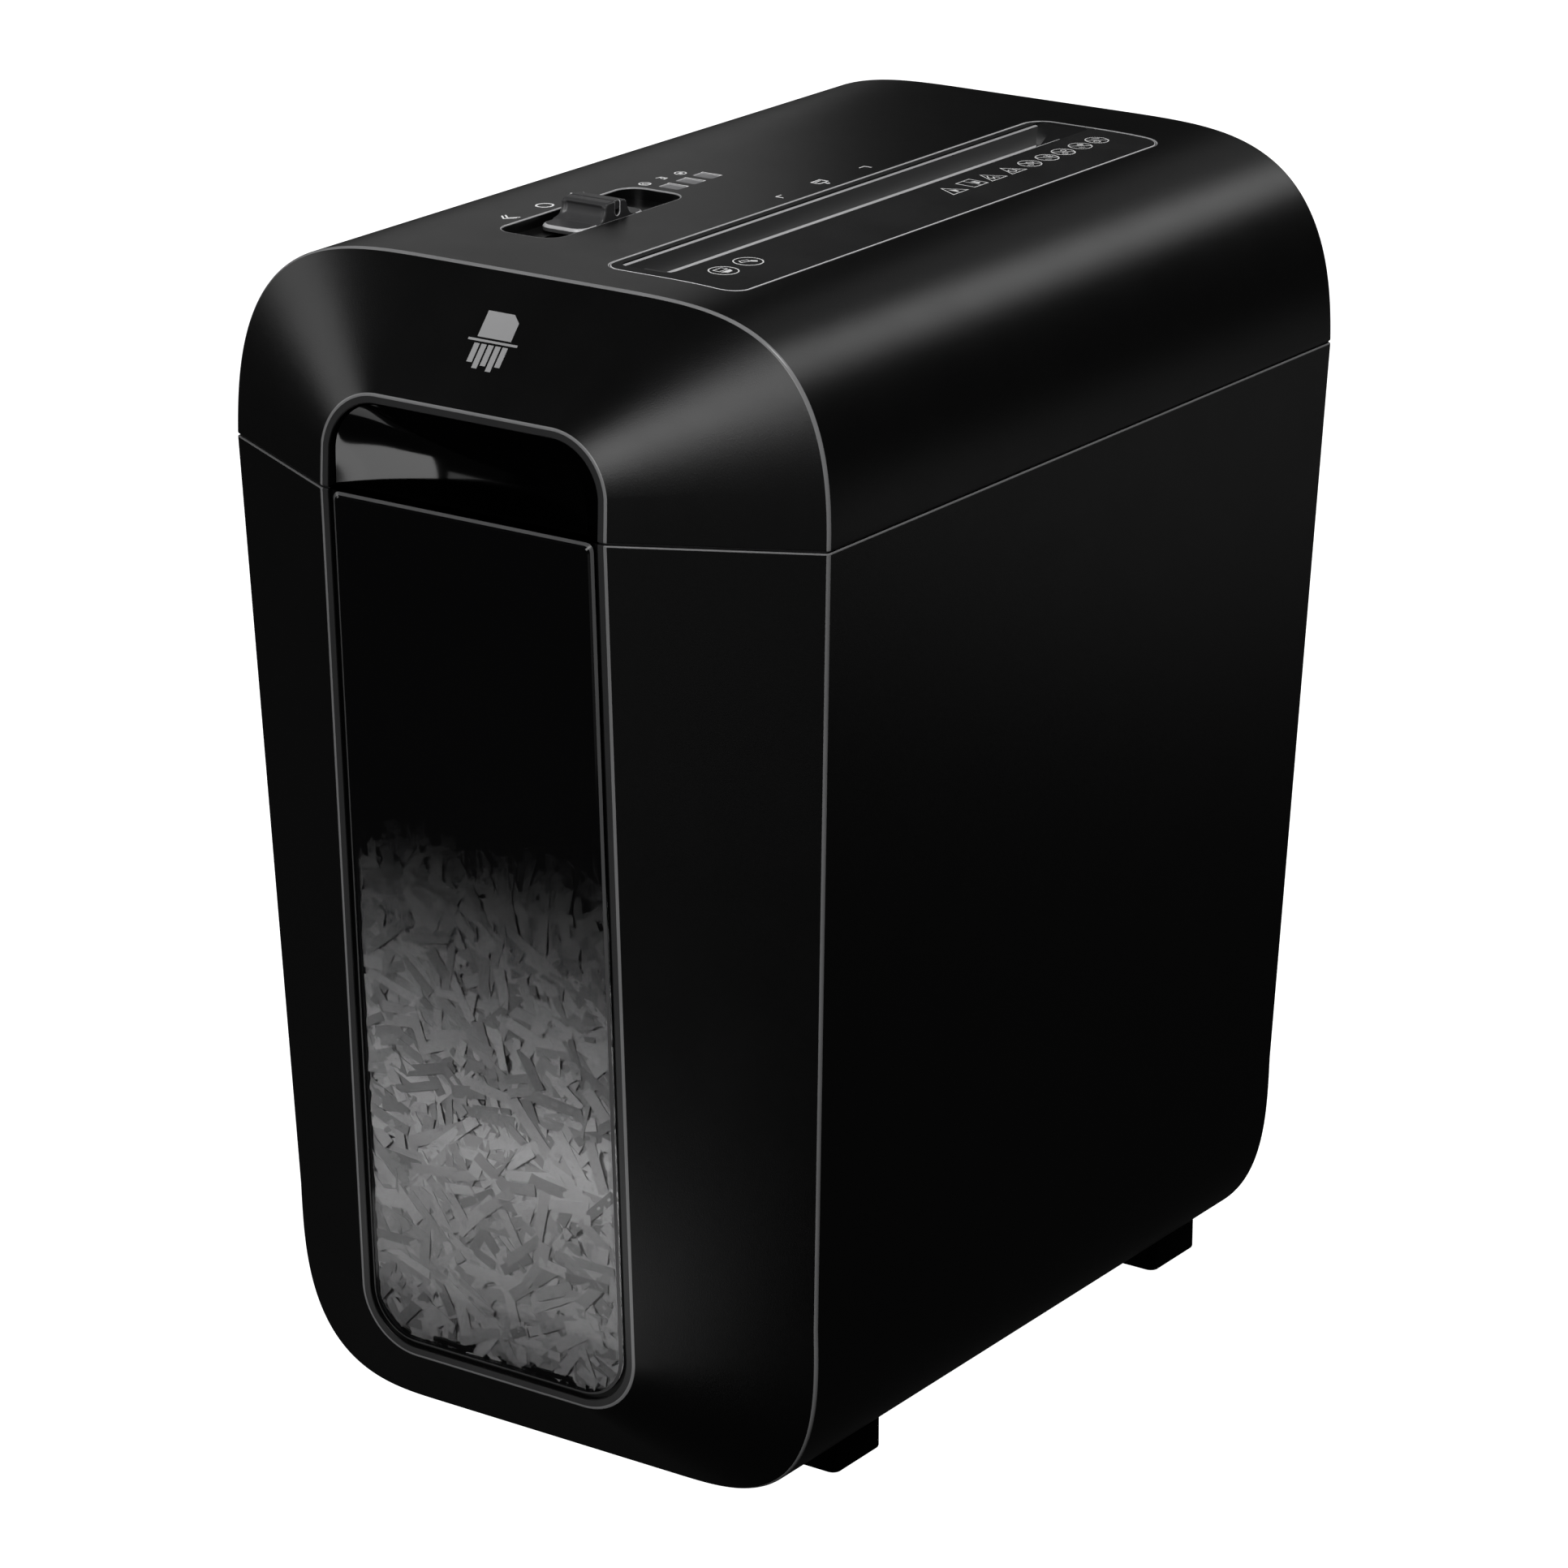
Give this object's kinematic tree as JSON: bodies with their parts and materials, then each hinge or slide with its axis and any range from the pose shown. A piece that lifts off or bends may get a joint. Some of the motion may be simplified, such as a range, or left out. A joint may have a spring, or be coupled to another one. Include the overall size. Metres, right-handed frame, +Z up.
{
  "type": "paper shredder",
  "caption": "Upright cross-cut paper shredder: a motor head with a top paper slot and slide switch, resting on a tapered waste bin with a smoked front window.",
  "frame": {"origin": "on the floor under the centre of the outer box", "axes": "+X to the right seen from the front, +Y to the rear, +Z up"},
  "size_m": [0.23, 0.3334, 0.4104],
  "materials": {
    "casing_black": "fine satin grain",
    "window_smoke": "smoked translucent, polished",
    "scoop_gloss": "high gloss",
    "panel_film": "fine matt film",
    "guide_black": "satin",
    "knob_black": "satin",
    "lens_grey": "frosted clear",
    "foot_rubber": "matt",
    "paper_white": "uncoated",
    "tray_black": "matt",
    "frame_steel": "zinc plated",
    "cutter_steel": "ground and oiled",
    "gear_steel": "sintered",
    "gear_nylon": "natural nylon",
    "bush_bronze": "sintered bronze",
    "motor_zinc": "zinc plated",
    "copper": "enamelled copper",
    "board_green": "solder resist",
    "board_black": "moulded",
    "switch_blue": "moulded",
    "ceramic_tan": "glazed body",
    "screw_steel": "zinc plated",
    "plunger_red": "moulded",
    "lever_white": "moulded"
  },
  "bodies": {
    "bin": {"bin_shell": "casing_black", "window_panel": "window_smoke", "window_clips": "guide_black", "feet": "foot_rubber", "foot_screws": "screw_steel", "interlock_tab": "guide_black", "shredded_paper": "paper_white"},
    "head": {"head_shell": "casing_black", "head_tray": "tray_black", "finger_scoop": "scoop_gloss", "throat_panel": "panel_film", "throat_guide_left": "guide_black", "throat_guide_right": "guide_black", "led_lenses": "lens_grey", "cord_gland": "foot_rubber", "cord_clamp": "tray_black", "front_frame_plate": "frame_steel", "rear_frame_plate": "frame_steel", "gear_support_plate": "frame_steel", "tie_rods": "frame_steel", "tie_rod_nuts": "screw_steel", "shaft_bushes": "bush_bronze", "idler_pins": "frame_steel", "stripper_comb_left": "guide_black", "stripper_comb_right": "guide_black", "motor_can": "motor_zinc", "motor_end_cap": "board_black", "motor_screws": "screw_steel", "power_board": "board_green", "board_parts": "board_black", "mode_switch": "switch_blue", "interlock_switch": "switch_blue", "thermal_cutout": "ceramic_tan", "tray_screws": "screw_steel", "frame_screws": "screw_steel"},
    "left_cutter": {"cutter_left": "cutter_steel", "sync_gear_left": "gear_steel", "drive_gear": "gear_nylon"},
    "right_cutter": {"cutter_right": "cutter_steel", "sync_gear_right": "gear_steel"},
    "second_gear": {"second_reduction_gear": "gear_nylon"},
    "first_gear": {"first_reduction_gear": "gear_nylon"},
    "rotor": {"motor_armature": "copper", "motor_pinion": "bush_bronze", "cooling_fan": "board_black"},
    "sensor": {"paper_sensor_lever": "lever_white"},
    "knob": {"control_knob": "knob_black"},
    "lock": {"lock_tab": "knob_black"},
    "plunger": {"interlock_plunger": "plunger_red"}
  },
  "joints": [
    {"name": "head_lift", "type": "slide", "parent": "bin", "child": "head", "axis": [0, 0, 1], "range_m": [0, 0.15]},
    {"name": "left_cutter_spin", "type": "hinge", "parent": "head", "child": "left_cutter", "pos_m": [0.015, -0.1083, 0.366], "axis": [0, 1, 0], "continuous": true},
    {"name": "right_cutter_spin", "type": "hinge", "parent": "head", "child": "right_cutter", "pos_m": [0.045, -0.1083, 0.366], "axis": [0, 1, 0], "continuous": true},
    {"name": "second_gear_spin", "type": "hinge", "parent": "head", "child": "second_gear", "pos_m": [-0.01602, 0.1297, 0.37147], "axis": [0, 1, 0], "continuous": true},
    {"name": "first_gear_spin", "type": "hinge", "parent": "head", "child": "first_gear", "pos_m": [-0.04602, 0.1297, 0.37147], "axis": [0, 1, 0], "continuous": true},
    {"name": "rotor_spin", "type": "hinge", "parent": "head", "child": "rotor", "pos_m": [-0.0736, 0.0657, 0.36661], "axis": [0, 1, 0], "continuous": true},
    {"name": "sensor_tilt", "type": "hinge", "parent": "head", "child": "sensor", "pos_m": [0.0205, 0.0157, 0.394], "axis": [0, 1, 0], "range_deg": [0, 35], "stiffness_Nm_per_rad": 0.004, "springref_deg": -17.19},
    {"name": "knob_slide", "type": "slide", "parent": "head", "child": "knob", "axis": [0, 1, 0], "range_m": [-0.0165, 0.0165]},
    {"name": "lock_press", "type": "slide", "parent": "knob", "child": "lock", "axis": [0, 0, -1], "range_m": [0, 0.001], "stiffness_N_per_m": 400, "springref_m": -0.0005},
    {"name": "plunger_press", "type": "slide", "parent": "head", "child": "plunger", "axis": [0, 0, 1], "range_m": [0, 0.002], "stiffness_N_per_m": 300, "springref_m": -0.001}
  ],
  "couplings": [
    {"joint": "right_cutter_spin", "follows": "left_cutter_spin", "ratio": -1},
    {"joint": "second_gear_spin", "follows": "left_cutter_spin", "ratio": -2},
    {"joint": "first_gear_spin", "follows": "left_cutter_spin", "ratio": 6},
    {"joint": "rotor_spin", "follows": "left_cutter_spin", "ratio": -27.6}
  ]
}
